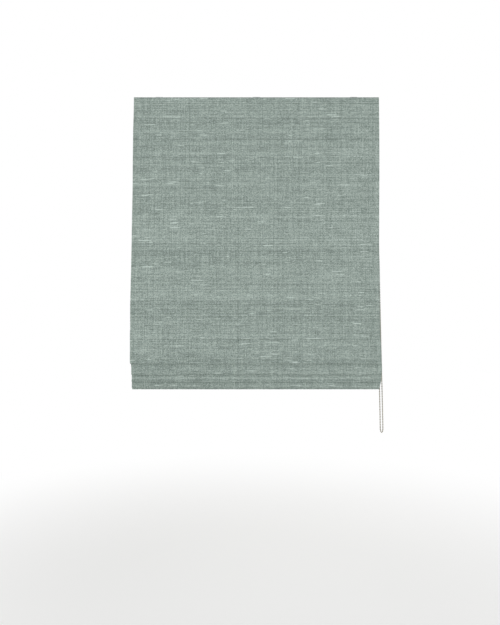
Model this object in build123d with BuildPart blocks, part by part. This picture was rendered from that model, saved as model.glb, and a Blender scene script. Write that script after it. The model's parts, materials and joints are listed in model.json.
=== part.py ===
from build123d import *

import math
import os

os.makedirs("parts", exist_ok=True)

# A flat roman blind, partly raised. X runs along the headrail, -Y faces the room and +Z is up.
# The origin is the middle of the plane that the mounting brackets are screwed to, and every
# depth below is measured down from that plane, in millimetres.

# Cloth
cloth_width = 882.0
face_thickness = 1.0
lining_thickness = 0.6
layer_gap = 0.3
side_hem_width = 11.0
side_hem_gap = 0.5
cloth_top_depth = 2.0
drop = 1050.0
section_length = 199.0
bend_radius = 8.0

# Folds, from the hem up: how far each gathered rod hangs above the one below it
hem_section = 95.0
gathered_rises = [20.0, 22.0, 27.0]
front_crease_rise = 94.0
front_crease_width = 6.0
leg_spacing = 2.9
turn_width = 4.0
hang_slope = 0.0274

# Rods, their pockets and the weight bar
rod_radius = 1.75
rod_end_inset = 16.0
rod_cap_radius = 2.2
rod_cap_length = 8.0
rod_cap_depth = 6.0
cap_clearance = 0.05
pocket_clearance = 0.3
pocket_sink = 0.2
upper_rod_count = 4
bar_width = 26.0
bar_thickness = 3.0
bar_cap_wall = 0.6
bar_cap_length = 14.0
bar_edge_radius = 0.9
hem_pocket_clearance = 0.3

# Headrail
rail_end_inset = 1.0
rail_top_depth = 5.0
rail_height = 32.0
rail_depth = 40.0
rail_wall = 1.4
rail_flange = 1.0
rail_lip = 3.5
rail_lip_cut = 4.2
tape_thickness = 1.5
tape_height = 20.0
tape_drop = 7.0
tape_clearance = 0.1

# Brackets
bracket_from_edge = 91.0
bracket_width = 24.0
bracket_sheet = 1.5
bracket_clearance = 0.2
bracket_hook = 0.7
screw_hole_radius = 2.25
screw_spacing = 18.0

# Lift spools and cords
cord_from_edge = 111.0
cord_radius = 0.7
spool_radius = 12.05
flange_height = 1.85
flange_thickness = 1.2
spool_length = 24.0
hub_radius = 5.0
hub_length = 4.0
bearing_clearance = 0.05
side_clearance = 0.4
winding_turns = 9
winding_pitch = 1.5
winding_clearance = 0.1
winding_valley = 0.6
cord_clearance = 0.3
cradle_wall = 2.0
cradle_bar_width = 3.4
cradle_bar_height = 3.0
cradle_clearance = 0.2

# Cord guides and anchors
guide_height = 4.0
guide_radius = 3.0
guide_width = 5.0
guide_hole_radius = 1.3
guide_clearance = 0.3
anchor_radius = 2.6
anchor_height = 7.0
anchor_hole_depth = 4.5
anchor_hole_radius = 1.0

# Drive at the right-hand end
shaft_size = 6.0
shaft_clearance = 0.1
journal_radius = 2.9
journal_length = 6.0
housing_length = 19.0
housing_wall = 2.5
cover_thickness = 2.5
wheel_width = 7.0
wheel_hub_radius = 5.5
wheel_hub_length = 20.0
cover_hub_radius = 4.0
post_radius = 8.6
post_length = 18.0
tongue_length = 16.0
tongue_thickness = 2.0
tongue_gap = 2.8
spring_wire = 1.6
spring_turns = 9
spring_clearance = 0.1
sleeve_wall = 2.0
sleeve_clearance = 0.4
sleeve_end = 1.7
cap_plate = 2.0
moulded_edge_radius = 1.5
journal_wall = 2.5

# Bead chain
bead_pitch = 6.0
bead_radius = 2.25
link_radius = 0.8
pocket_count = 12
wheel_pocket_clearance = 0.35
wheel_groove_half_width = 1.5
wheel_edge_radius = 12.6
wheel_room_extra = 1.9
chain_depth = 1215.0
chain_offset = 25.5
chain_half_gap = 4.6
chain_twist = 65.0
chain_slot_clearance = 1.2
connector_depth = 660.0
connector_radius = 3.1
connector_beads = 2

# Worked out from the sizes above
cloth_half = cloth_width / 2
bracket_spacing = cloth_half - bracket_from_edge
cord_spacing = cloth_half - cord_from_edge
seam_to_face = layer_gap / 2 + face_thickness
seam_to_lining = layer_gap / 2 + lining_thickness
rail_bottom_depth = rail_top_depth + rail_height
rail_half = cloth_half - rail_end_inset
profile_left = -rail_half + cap_plate
profile_right = rail_half - housing_length
shaft_depth = rail_top_depth + rail_height / 2
tape_back = rail_depth / 2
cloth_y = -(tape_back + 2 * tape_thickness + tape_clearance + seam_to_lining)
pull_radius = spool_radius + cord_radius
cord_top_y = -(pull_radius + cord_clearance)
pocket_radius = rod_cap_radius + pocket_clearance
pocket_wall_radius = pocket_radius + lining_thickness
rod_front = -(seam_to_lining + pocket_radius - pocket_sink)
rod_drop = turn_width / 2
rod_half = cloth_half - rod_end_inset
lining_half = cloth_half - side_hem_width - side_hem_gap
cord_places = [-cord_spacing, 0.0, cord_spacing]
rod_depths = [drop - hem_section]
for rise in gathered_rises:
    rod_depths.append(rod_depths[-1] - rise)
gathered_count = len(rod_depths)


def hang(depth, front):
    """Y and Z of a point of the cloth, from its depth and how far it stands in front of the hanging line."""
    lean = max(depth - rail_bottom_depth, 0.0) * hang_slope
    return (cloth_y - lean - front, -depth)


def cord_y(depth):
    """The lift cords run down beside the cloth with the same slope."""
    return cord_top_y - (depth - shaft_depth) * hang_slope


def leg_front(leg, rod):
    """How far in front of the hanging line a leg of cloth passes a gathered rod."""
    return turn_width + (leg - 2 * rod - 1) * leg_spacing


def run_length(points):
    return sum(math.dist(a, b) for a, b in zip(points, points[1:]))


# Each leg of a fold hangs from a rod to a crease. Leg 0 is the hem, legs 1 and 2 make the rearmost fold,
# legs 3 and 4 the next, and so on to the front. Points are (front, depth).
def back_leg(rod):
    """From the crease up to this rod, past the rods below it."""
    leg = 2 * rod + 1
    passing = [(leg_front(leg, k), rod_depths[k]) for k in range(rod)]
    return passing + [(turn_width, rod_depths[rod])]


def front_leg(rod):
    """From this rod down towards the crease, past the rods below it."""
    leg = 2 * rod
    passing = [(leg_front(leg, k), rod_depths[k]) for k in reversed(range(rod))]
    return [(0.0, rod_depths[rod])] + passing


# The front fold is half formed: its crease is placed, and the rod above it follows from its length
front_crease_depth = drop - front_crease_rise
last_back = back_leg(gathered_count - 1)
crease_back = (leg_front(2 * gathered_count - 1, 0), front_crease_depth)
crease_front = (crease_back[0] + front_crease_width, front_crease_depth)
used_length = run_length([crease_front, crease_back] + last_back)
front_leg_length = section_length - used_length
rod_depths.append(front_crease_depth - math.sqrt(front_leg_length**2 - crease_front[0] ** 2))
for count in range(upper_rod_count - 1):
    rod_depths.append(rod_depths[-1] - section_length)
rod_places = [hang(depth + rod_drop, rod_front) for depth in rod_depths]

# The seam line of the cloth in the side view, from the top edge to the hem: (front, depth, corner radius)
crease_radius = leg_spacing / 2 - 0.1
turn_radius = turn_width / 2 - 0.25
seam_line = [(0.0, cloth_top_depth, None), (0.0, rail_bottom_depth, bend_radius)]
seam_line += [(0.0, rod_depths[gathered_count], bend_radius)]
seam_line += [(*crease_front, front_crease_width / 2 - 0.3), (*crease_back, front_crease_width / 2 - 0.3)]
for rod in reversed(range(gathered_count)):
    rising = back_leg(rod)
    passing = rising[:-1] if rod < gathered_count - 1 else rising[1:-1]
    seam_line += [(*point, bend_radius) for point in passing]
    seam_line += [(*rising[-1], turn_radius), (0.0, rod_depths[rod], turn_radius)]
    if rod > 0:
        falling = front_leg(rod)
        next_rising = back_leg(rod - 1)
        straight = section_length - run_length(falling) - run_length(next_rising) - leg_spacing
        low = rod_depths[0] + straight / 2
        front = falling[-1][0]
        seam_line += [(*point, bend_radius) for point in falling[1:]]
        seam_line += [(front, low, crease_radius), (front - leg_spacing, low, crease_radius)]

print("rod depths", [round(depth, 1) for depth in rod_depths])


def layer_line(corners, distance):
    """The seam line's corners and radii, moved to the face side of the cloth by a distance."""
    points = [Vector(*hang(depth, front)) for front, depth, radius in corners]
    moved = []
    radii = []
    for i, point in enumerate(points):
        before = (point - points[i - 1]).normalized() if i > 0 else None
        after = (points[i + 1] - point).normalized() if i < len(points) - 1 else None
        before = before or after
        after = after or before
        side = Vector(before.Y + after.Y, -(before.X + after.X)).normalized()
        across = Vector(before.Y, -before.X)
        moved.append(point + side * (distance / side.dot(across)))
        if 0 < i < len(points) - 1:
            turn = before.X * after.Y - before.Y * after.X
            radii.append(corners[i][2] + math.copysign(distance, distance * turn))
    return moved, radii


def cloth_layer(corners, inner, outer):
    """The side view of one layer of the cloth, between two distances from the seam line."""
    inner_points, inner_radii = layer_line(corners, inner)
    outer_points, outer_radii = layer_line(corners, outer)
    with BuildLine() as outline:
        inner_line = FilletPolyline(*inner_points, radius=inner_radii)
        outer_line = FilletPolyline(*outer_points, radius=outer_radii)
        Line(inner_line @ 0, outer_line @ 0)
        Line(inner_line @ 1, outer_line @ 1)
    return outline.edges()


# Face fabric, with its side hems turned to the back and the pocket for the weight bar
hem_line = seam_line + [(0.0, drop, None)]
bar_pocket_depth = bar_thickness + 2 * bar_cap_wall + 2 * hem_pocket_clearance
bar_pocket_height = bar_width + 2 * bar_cap_wall + 2 * hem_pocket_clearance
bar_low = drop - face_thickness
bar_high = bar_low - bar_pocket_height
pocket_back = layer_gap / 2 - bar_pocket_depth
bar_middle = hang((bar_low + bar_high) / 2, layer_gap / 2 - bar_pocket_depth / 2)
bar_tilt = -math.degrees(math.atan(hang_slope))
hem_line_top = bar_high - face_thickness

with BuildPart() as face_fabric:
    with BuildSketch(Plane.YZ.offset(-cloth_half)):
        make_face(cloth_layer(hem_line, layer_gap / 2, seam_to_face))
        with BuildLine():
            Polyline(
                hang(hem_line_top, seam_to_face),
                hang(drop, seam_to_face),
                hang(drop, pocket_back - face_thickness),
                hang(hem_line_top, pocket_back - face_thickness),
                close=True,
            )
        make_face()
        with BuildLine():
            Polyline(
                hang(bar_high, layer_gap / 2),
                hang(bar_low, layer_gap / 2),
                hang(bar_low, pocket_back),
                hang(bar_high, pocket_back),
                close=True,
            )
        make_face(mode=Mode.SUBTRACT)
    extrude(amount=cloth_width)
    lining_line = seam_line + [(0.0, hem_line_top - layer_gap, None)]
    for start in (-cloth_half, cloth_half - side_hem_width):
        with BuildSketch(Plane.YZ.offset(start)):
            make_face(cloth_layer(lining_line, -seam_to_lining, layer_gap))
        extrude(amount=side_hem_width)
face_fabric.part.label = "face_fabric"
export_step(face_fabric.part, "parts/face_fabric.step")

# Lining, with a pocket along its back for every rod
with BuildPart() as lining:
    with BuildSketch(Plane.YZ.offset(-lining_half)):
        make_face(cloth_layer(lining_line, -seam_to_lining, -layer_gap / 2))
        with Locations(*rod_places):
            Circle(pocket_wall_radius)
        with Locations(*rod_places):
            Circle(pocket_radius, mode=Mode.SUBTRACT)
    extrude(amount=2 * lining_half)
lining.part.label = "lining"
export_step(lining.part, "parts/lining.step")

# Rods, each with two end caps and three cord guides; the gathered ones share their caps and guides
rod_end_x = rod_half - rod_cap_length + rod_cap_depth


def rod_solid(place):
    with BuildPart() as rod:
        with BuildSketch(Plane.YZ.offset(-rod_end_x)):
            with Locations(place):
                Circle(rod_radius)
        extrude(amount=2 * rod_end_x)
    return rod.part


def rod_caps(places):
    with BuildPart() as caps:
        with BuildSketch(Plane.YZ.offset(-rod_half)):
            with Locations(*places):
                Circle(rod_cap_radius)
        extrude(amount=rod_cap_length)
        with BuildSketch(Plane.YZ.offset(-rod_end_x - cap_clearance)):
            with Locations(*places):
                Circle(rod_radius + cap_clearance)
        extrude(amount=rod_cap_length, mode=Mode.SUBTRACT)
        mirror(about=Plane.YZ)
    return caps.part


def cord_guides(depths):
    with BuildPart() as guides:
        for depth in depths:
            middle = depth + rod_drop
            pocket_y = hang(middle, rod_front)[0] + pocket_wall_radius
            front_y = pocket_y + guide_clearance
            ring_y = cord_y(middle)
            with BuildSketch(Plane.XY.offset(-middle - guide_height / 2)):
                for x in cord_places:
                    with Locations((x, (front_y + ring_y) / 2)):
                        Rectangle(guide_width, ring_y - front_y)
                    with Locations((x, ring_y)):
                        Circle(guide_radius)
                        Circle(guide_hole_radius, mode=Mode.SUBTRACT)
            extrude(amount=guide_height)
    return guides.part


for number, place in enumerate(rod_places, start=1):
    rod_part = rod_solid(place)
    rod_part.label = f"batten_rod_{number}"
    export_step(rod_part, f"parts/batten_rod_{number}.step")

bottom_count = gathered_count + 1
cap_groups = {"lower": rod_places[:bottom_count]}
guide_groups = {"lower": rod_depths[:bottom_count]}
for number in range(bottom_count, len(rod_places)):
    cap_groups[f"{number + 1}"] = [rod_places[number]]
    guide_groups[f"{number + 1}"] = [rod_depths[number]]
for group, places in cap_groups.items():
    caps_part = rod_caps(places)
    caps_part.label = f"rod_caps_{group}"
    export_step(caps_part, f"parts/rod_caps_{group}.step")
for group, depths in guide_groups.items():
    guides_part = cord_guides(depths)
    guides_part.label = f"cord_guides_{group}"
    export_step(guides_part, f"parts/cord_guides_{group}.step")

# Anchors that hold the cords' lower ends under the lowest guides
anchor_top = rod_depths[0] + rod_drop + guide_height / 2 + guide_clearance
with BuildPart() as cord_anchors:
    with BuildSketch(Plane.XY.offset(-anchor_top)):
        with Locations(*[(x, cord_y(anchor_top)) for x in cord_places]):
            Circle(anchor_radius)
    extrude(amount=-anchor_height)
    with BuildSketch(Plane.XY.offset(-anchor_top)):
        with Locations(*[(x, cord_y(anchor_top)) for x in cord_places]):
            Circle(anchor_hole_radius)
    extrude(amount=-anchor_hole_depth, mode=Mode.SUBTRACT)
cord_anchors.part.label = "cord_anchors"
export_step(cord_anchors.part, "parts/cord_anchors.step")

# Lift cords, straight from the spools through the guides to the anchors
cord_end = anchor_top + anchor_hole_depth
for number, x in enumerate(cord_places, start=1):
    top_point = Vector(x, cord_y(shaft_depth), -shaft_depth)
    end_point = Vector(x, cord_y(cord_end), -cord_end)
    with BuildPart() as lift_cord:
        with BuildSketch(Plane(top_point, x_dir=(1, 0, 0), z_dir=end_point - top_point)):
            Circle(cord_radius)
        extrude(amount=(end_point - top_point).length)
    lift_cord.part.label = f"lift_cord_{number}"
    export_step(lift_cord.part, f"parts/lift_cord_{number}.step")

# Weight bar in the hem pocket, with a moulded cap on each end
bar_half = rod_half
with BuildPart() as bottom_bar:
    with BuildSketch(Plane.YZ.offset(-bar_half)):
        with Locations(bar_middle):
            Rectangle(bar_thickness, bar_width, rotation=bar_tilt)
    extrude(amount=2 * bar_half)
    fillet(bottom_bar.edges().filter_by(Axis.X), radius=bar_edge_radius)
bottom_bar.part.label = "bottom_bar"
export_step(bottom_bar.part, "parts/bottom_bar.step")

with BuildPart() as bar_end_caps:
    with BuildSketch(Plane.YZ.offset(-bar_half - bar_cap_wall)):
        with Locations(bar_middle):
            Rectangle(
                bar_thickness + 2 * bar_cap_wall, bar_width + 2 * bar_cap_wall, rotation=bar_tilt
            )
    extrude(amount=bar_cap_length)
    with BuildSketch(Plane.YZ.offset(-bar_half - cap_clearance)):
        with Locations(bar_middle):
            Rectangle(
                bar_thickness + 2 * cap_clearance, bar_width + 2 * cap_clearance, rotation=bar_tilt
            )
    extrude(amount=bar_cap_length, mode=Mode.SUBTRACT)
    mirror(about=Plane.YZ)
bar_end_caps.part.label = "bar_end_caps"
export_step(bar_end_caps.part, "parts/bar_end_caps.step")

# Headrail: a channel open downwards, with a flange along each top edge for the brackets
profile_length = profile_right - profile_left
with BuildPart() as headrail:
    with BuildSketch(Plane.YZ.offset(profile_left)):
        with Locations((0, -rail_top_depth - rail_height / 2)):
            Rectangle(rail_depth, rail_height)
        with Locations((0, -rail_top_depth - rail_wall / 2)):
            Rectangle(rail_depth + 2 * rail_flange, rail_wall)
        with Locations((0, -rail_top_depth - rail_height / 2)):
            Rectangle(rail_depth - 2 * rail_wall, rail_height - 2 * rail_wall, mode=Mode.SUBTRACT)
        with Locations((0, -rail_bottom_depth)):
            Rectangle(rail_depth - 2 * rail_wall - 2 * rail_lip, rail_lip_cut, mode=Mode.SUBTRACT)
    extrude(amount=profile_length)
headrail.part.label = "headrail"
export_step(headrail.part, "parts/headrail.step")

# Hook tape on the rail's front and loop tape on the back of the cloth
tape_top = rail_top_depth + tape_drop
hook_tape_y = -tape_back - tape_thickness / 2
tapes = {"hook_tape": hook_tape_y, "loop_tape": hook_tape_y - tape_thickness}
for name, y in tapes.items():
    with BuildPart() as tape:
        with BuildSketch(Plane.YZ.offset(profile_left)):
            with Locations((y, -tape_top - tape_height / 2)):
                Rectangle(tape_thickness, tape_height)
        extrude(amount=profile_length)
    tape.part.label = name
    export_step(tape.part, f"parts/{name}.step")

# Spring-steel clip brackets: a plate with two screw holes and a hooked leg over each rail flange
leg_inner = rail_depth / 2 + rail_flange + bracket_clearance
leg_outer = leg_inner + bracket_sheet
hook_top = rail_top_depth + rail_wall + bracket_clearance
hook_bottom = hook_top + bracket_sheet
for number, x in enumerate((-bracket_spacing, 0.0, bracket_spacing), start=1):
    with BuildPart() as bracket:
        with BuildSketch(Plane.YZ.offset(x - bracket_width / 2)):
            with BuildLine():
                Polyline(
                    (-leg_outer, 0),
                    (leg_outer, 0),
                    (leg_outer, -hook_bottom),
                    (leg_inner - bracket_hook, -hook_bottom),
                    (leg_inner - bracket_hook, -hook_top),
                    (leg_inner, -hook_top),
                    (leg_inner, -bracket_sheet),
                    (-leg_inner, -bracket_sheet),
                    (-leg_inner, -hook_top),
                    (-leg_inner + bracket_hook, -hook_top),
                    (-leg_inner + bracket_hook, -hook_bottom),
                    (-leg_outer, -hook_bottom),
                    close=True,
                )
            make_face()
        extrude(amount=bracket_width)
        with BuildSketch(Plane.XY):
            with Locations((x, -screw_spacing / 2), (x, screw_spacing / 2)):
                Circle(screw_hole_radius)
        extrude(amount=-bracket_sheet, mode=Mode.SUBTRACT)
    bracket.part.label = f"mount_bracket_{number}"
    export_step(bracket.part, f"parts/mount_bracket_{number}.step")

# Cord spools: the cord leaves beside its last wound turn
axis_z = -shaft_depth
winding_length = winding_turns * winding_pitch
cord_from_flange = winding_length + winding_clearance + cord_radius + cord_clearance
spool_starts = [x - cord_from_flange for x in cord_places]
flange_radius = spool_radius + flange_height
for number, start in enumerate(spool_starts, start=1):
    with BuildPart() as spool:
        with BuildSketch(Plane.YZ.offset(start - flange_thickness - hub_length)):
            with Locations((0, axis_z)):
                Circle(hub_radius)
        extrude(amount=spool_length + 2 * flange_thickness + 2 * hub_length)
        with BuildSketch(Plane.YZ.offset(start - flange_thickness)):
            with Locations((0, axis_z)):
                Circle(flange_radius)
        extrude(amount=spool_length + 2 * flange_thickness)
        with BuildSketch(Plane.YZ.offset(start)):
            with Locations((0, axis_z)):
                Circle(flange_radius + flange_thickness)
                Circle(spool_radius, mode=Mode.SUBTRACT)
        extrude(amount=spool_length, mode=Mode.SUBTRACT)
        with BuildSketch(Plane.YZ.offset(start - flange_thickness - hub_length)):
            with Locations((0, axis_z)):
                Rectangle(shaft_size + 2 * shaft_clearance, shaft_size + 2 * shaft_clearance)
        extrude(amount=spool_length + 2 * flange_thickness + 2 * hub_length, mode=Mode.SUBTRACT)
    spool.part.label = f"cord_spool_{number}"
    export_step(spool.part, f"parts/cord_spool_{number}.step")


def close_coil(start, inner_radius, wire, pitch, turns):
    """A closely wound coil on the shaft's axis, drawn as a ridged sleeve."""
    peak = axis_z - inner_radius - wire
    valley = axis_z - inner_radius - wire * winding_valley
    ridges = [(start, axis_z - inner_radius), (start, valley)]
    for turn in range(turns):
        ridges += [(start + (turn + 0.5) * pitch, peak), (start + (turn + 1) * pitch, valley)]
    ridges.append((start + turns * pitch, axis_z - inner_radius))
    with BuildPart() as coil:
        with BuildSketch(Plane.XZ):
            with BuildLine():
                Polyline(*ridges, close=True)
            make_face()
        revolve(axis=Axis((0, 0, axis_z), (1, 0, 0)))
    return coil.part


for number, start in enumerate(spool_starts, start=1):
    wound = close_coil(
        start + winding_clearance,
        spool_radius + winding_clearance,
        2 * cord_radius,
        winding_pitch,
        winding_turns,
    )
    wound.label = f"cord_winding_{number}"
    export_step(wound, f"parts/cord_winding_{number}.step")

# Cradles that carry the spools in the rail
cradle_half_depth = rail_depth / 2 - rail_wall - cradle_clearance
cradle_top = rail_top_depth + rail_wall + cradle_clearance
cradle_bottom = rail_bottom_depth - rail_wall - cradle_clearance
for number, start in enumerate(spool_starts, start=1):
    left = start - flange_thickness - side_clearance - cradle_wall
    span = spool_length + 2 * (flange_thickness + side_clearance + cradle_wall)
    with BuildPart() as cradle:
        with BuildSketch(Plane.YZ.offset(left)):
            with Locations((0, -(cradle_top + cradle_bottom) / 2)):
                Rectangle(2 * cradle_half_depth, cradle_bottom - cradle_top)
        extrude(amount=span)
        with BuildSketch(Plane.YZ.offset(left + cradle_wall)):
            with Locations((0, -(cradle_top + cradle_bottom) / 2)):
                Rectangle(2 * cradle_half_depth, cradle_bottom - cradle_top)
            for side in (-1, 1):
                with Locations(
                    (
                        side * (cradle_half_depth - cradle_bar_width / 2),
                        -cradle_bottom + cradle_bar_height / 2,
                    )
                ):
                    Rectangle(cradle_bar_width, cradle_bar_height, mode=Mode.SUBTRACT)
        extrude(amount=span - 2 * cradle_wall, mode=Mode.SUBTRACT)
        with BuildSketch(Plane.YZ.offset(left)):
            with Locations((0, axis_z)):
                Circle(hub_radius + bearing_clearance)
        extrude(amount=span, mode=Mode.SUBTRACT)
    cradle.part.label = f"spool_cradle_{number}"
    export_step(cradle.part, f"parts/spool_cradle_{number}.step")

# Bead chain: one loop over the wheel, closed by a connector on the rear strand
wheel_pitch_radius = bead_pitch * pocket_count / (2 * math.pi)
wheel_space = housing_length - housing_wall - cover_thickness
wheel_x = profile_right + housing_wall + wheel_space / 2
loop_low = chain_depth - bead_radius - chain_half_gap
twist = math.radians(chain_twist)
low_middle = Vector(wheel_x + chain_offset, 0, -loop_low)
low_side = Vector(math.sin(twist), -math.cos(twist), 0) * chain_half_gap
front_start = Vector(wheel_x, -wheel_pitch_radius, axis_z)
rear_start = Vector(wheel_x, wheel_pitch_radius, axis_z)
front_end = low_middle + low_side
rear_end = low_middle - low_side
rear_way = (rear_end - rear_start).normalized()
connector_middle = rear_start + rear_way * ((connector_depth - shaft_depth) / -rear_way.Z)
connector_reach = connector_beads * bead_pitch / 2
with BuildLine() as chain_loop:
    Line(connector_middle - rear_way * connector_reach, rear_start)
    ThreePointArc(rear_start, (wheel_x, 0, axis_z + wheel_pitch_radius), front_start)
    Line(front_start, front_end)
    ThreePointArc(front_end, low_middle - Vector(0, 0, chain_half_gap), rear_end)
    Line(rear_end, connector_middle + rear_way * connector_reach)
chain_path = chain_loop.wire()
bead_count = round(chain_path.length / bead_pitch)
bead_step = chain_path.length / bead_count
print("chain", bead_count, "beads, path", round(chain_path.length, 1), "mm, step", round(bead_step, 3))


def chain_section(place, radius):
    """A hexagon across the chain; the loop's plane turns steadily from the wheel to its low end."""
    point = chain_path @ place
    lowered = min(max((axis_z - point.Z) / (axis_z + loop_low), 0.0), 1.0)
    across = Vector(math.cos(lowered * twist), math.sin(lowered * twist), 0)
    plane = Plane(point, x_dir=across, z_dir=chain_path % place)
    corners = [Vector(radius, 0, 0).rotate(Axis.Z, 60 * k) for k in range(6)]
    return Wire.make_polygon([plane.from_local_coords(corner) for corner in corners], close=True)


chain_sections = []
for half_step in range(2 * bead_count + 1):
    section_radius = bead_radius if half_step % 2 else link_radius
    chain_sections.append(chain_section(half_step / (2 * bead_count), section_radius))
bead_chain = Solid.make_loft(chain_sections, ruled=True)
bead_chain.label = "bead_chain"
export_step(bead_chain, "parts/bead_chain.step")

with BuildPart() as chain_connector:
    with BuildSketch(Plane(connector_middle - rear_way * connector_reach, z_dir=rear_way)):
        Circle(connector_radius)
    extrude(amount=2 * connector_reach)
    fillet(chain_connector.edges(), radius=connector_radius - 2 * link_radius)
chain_connector.part.label = "chain_connector"
export_step(chain_connector.part, "parts/chain_connector.step")

# Chain wheel with a pocket for each bead, turned so that the pockets meet the beads
way_to_top = connector_middle - rear_way * connector_reach - rear_start
top_distance = way_to_top.length + wheel_pitch_radius * math.pi / 2
pocket_turn = (top_distance / bead_step - 0.5) % 1 * 360 / pocket_count
groove_radius = wheel_pitch_radius - wheel_groove_half_width
hub_start = wheel_x - wheel_width / 2 - wheel_hub_length
cover_inside = rail_half - cover_thickness
with BuildPart() as chain_wheel:
    with BuildSketch(Plane.YZ.offset(wheel_x - wheel_width / 2)):
        with Locations((0, axis_z)):
            Circle(wheel_edge_radius)
    extrude(amount=wheel_width)
    with BuildSketch(Plane.YZ.offset(wheel_x - wheel_groove_half_width)):
        with Locations((0, axis_z)):
            Circle(wheel_edge_radius + bead_radius)
            Circle(groove_radius, mode=Mode.SUBTRACT)
    extrude(amount=2 * wheel_groove_half_width, mode=Mode.SUBTRACT)
    with BuildSketch(Plane.YZ.offset(hub_start)):
        with Locations((0, axis_z)):
            Circle(wheel_hub_radius)
    extrude(amount=wheel_hub_length)
    with BuildSketch(Plane.YZ.offset(wheel_x + wheel_width / 2)):
        with Locations((0, axis_z)):
            Circle(cover_hub_radius)
    extrude(amount=rail_half - side_clearance - wheel_x - wheel_width / 2)
    for pocket in range(pocket_count):
        angle = math.radians(90 - pocket_turn + pocket * 360 / pocket_count)
        pocket_y = wheel_pitch_radius * math.cos(angle)
        pocket_z = axis_z + wheel_pitch_radius * math.sin(angle)
        with Locations((wheel_x, pocket_y, pocket_z)):
            Sphere(bead_radius + wheel_pocket_clearance, mode=Mode.SUBTRACT)
    with BuildSketch(Plane.YZ.offset(hub_start)):
        with Locations((0, axis_z)):
            Rectangle(shaft_size + 2 * shaft_clearance, shaft_size + 2 * shaft_clearance)
    extrude(amount=wheel_hub_length + wheel_width, mode=Mode.SUBTRACT)
chain_wheel.part.label = "chain_wheel"
export_step(chain_wheel.part, "parts/chain_wheel.step")

# Square drive shaft with a round journal at its left-hand end
shaft_left = -rail_half + cap_plate
shaft_right = wheel_x + wheel_width / 2 - side_clearance
with BuildPart() as drive_shaft:
    with BuildSketch(Plane.YZ.offset(shaft_left + journal_length)):
        with Locations((0, axis_z)):
            Rectangle(shaft_size, shaft_size)
    extrude(amount=shaft_right - shaft_left - journal_length)
    with BuildSketch(Plane.YZ.offset(shaft_left + side_clearance)):
        with Locations((0, axis_z)):
            Circle(journal_radius)
    extrude(amount=journal_length - side_clearance)
drive_shaft.part.label = "drive_shaft"
export_step(drive_shaft.part, "parts/drive_shaft.step")

# Wheel housing, plugged into the rail, with a post for the clutch spring
rail_inside = rail_depth / 2 - rail_wall
slot_half = bead_radius + chain_slot_clearance
wheel_room = wheel_edge_radius + wheel_room_extra
tongue_top = rail_top_depth + tongue_gap
tongue_low = rail_bottom_depth - tongue_gap
with BuildPart() as drive_housing:
    with BuildSketch(Plane.YZ.offset(profile_right)):
        with Locations((0, -rail_top_depth - rail_height / 2)):
            Rectangle(rail_depth, rail_height)
    extrude(amount=housing_length - cover_thickness)
    fillet(drive_housing.edges().filter_by(Axis.X), radius=moulded_edge_radius)
    with BuildSketch(Plane.YZ.offset(profile_right + housing_wall)):
        with Locations((0, axis_z)):
            Circle(wheel_room)
        for side in (-1, 1):
            with Locations((side * wheel_pitch_radius, axis_z - rail_height / 2)):
                Rectangle(2 * slot_half, rail_height)
    extrude(amount=wheel_space, mode=Mode.SUBTRACT)
    with BuildSketch(Plane.YZ.offset(profile_right - post_length)):
        with Locations((0, axis_z)):
            Circle(post_radius)
    extrude(amount=post_length)
    with BuildSketch(Plane.YZ.offset(profile_right - tongue_length)):
        for side in (-1, 1):
            with Locations(
                (
                    side * (rail_inside - cradle_clearance - tongue_thickness / 2),
                    -(tongue_top + tongue_low) / 2,
                )
            ):
                Rectangle(tongue_thickness, tongue_low - tongue_top)
    extrude(amount=tongue_length)
    with BuildSketch(Plane.YZ.offset(profile_right - post_length)):
        with Locations((0, axis_z)):
            Circle(wheel_hub_radius + bearing_clearance)
    extrude(amount=post_length + housing_wall, mode=Mode.SUBTRACT)
drive_housing.part.label = "drive_housing"
export_step(drive_housing.part, "parts/drive_housing.step")

with BuildPart() as drive_cover:
    with BuildSketch(Plane.YZ.offset(cover_inside)):
        with Locations((0, -rail_top_depth - rail_height / 2)):
            Rectangle(rail_depth, rail_height)
    extrude(amount=cover_thickness)
    fillet(drive_cover.edges().filter_by(Axis.X), radius=moulded_edge_radius)
    with BuildSketch(Plane.YZ.offset(cover_inside)):
        with Locations((0, axis_z)):
            Circle(cover_hub_radius + bearing_clearance)
    extrude(amount=cover_thickness, mode=Mode.SUBTRACT)
drive_cover.part.label = "drive_cover"
export_step(drive_cover.part, "parts/drive_cover.step")

# Clutch spring gripping the post, inside a sleeve that turns with the shaft
spring_start = profile_right - post_length + spring_clearance
clutch_spring = close_coil(
    spring_start, post_radius + spring_clearance, spring_wire, spring_wire, spring_turns
)
clutch_spring.label = "clutch_spring"
export_step(clutch_spring, "parts/clutch_spring.step")

sleeve_bore = post_radius + spring_clearance + spring_wire + sleeve_clearance
sleeve_start = profile_right - post_length - sleeve_end - side_clearance
sleeve_length = post_length + sleeve_end
with BuildPart() as drive_sleeve:
    with BuildSketch(Plane.YZ.offset(sleeve_start)):
        with Locations((0, axis_z)):
            Circle(sleeve_bore + sleeve_wall)
    extrude(amount=sleeve_length)
    with BuildSketch(Plane.YZ.offset(sleeve_start + sleeve_end)):
        with Locations((0, axis_z)):
            Circle(sleeve_bore)
    extrude(amount=sleeve_length - sleeve_end, mode=Mode.SUBTRACT)
    with BuildSketch(Plane.YZ.offset(sleeve_start)):
        with Locations((0, axis_z)):
            Rectangle(shaft_size + 2 * shaft_clearance, shaft_size + 2 * shaft_clearance)
    extrude(amount=sleeve_end, mode=Mode.SUBTRACT)
drive_sleeve.part.label = "drive_sleeve"
export_step(drive_sleeve.part, "parts/drive_sleeve.step")

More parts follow.
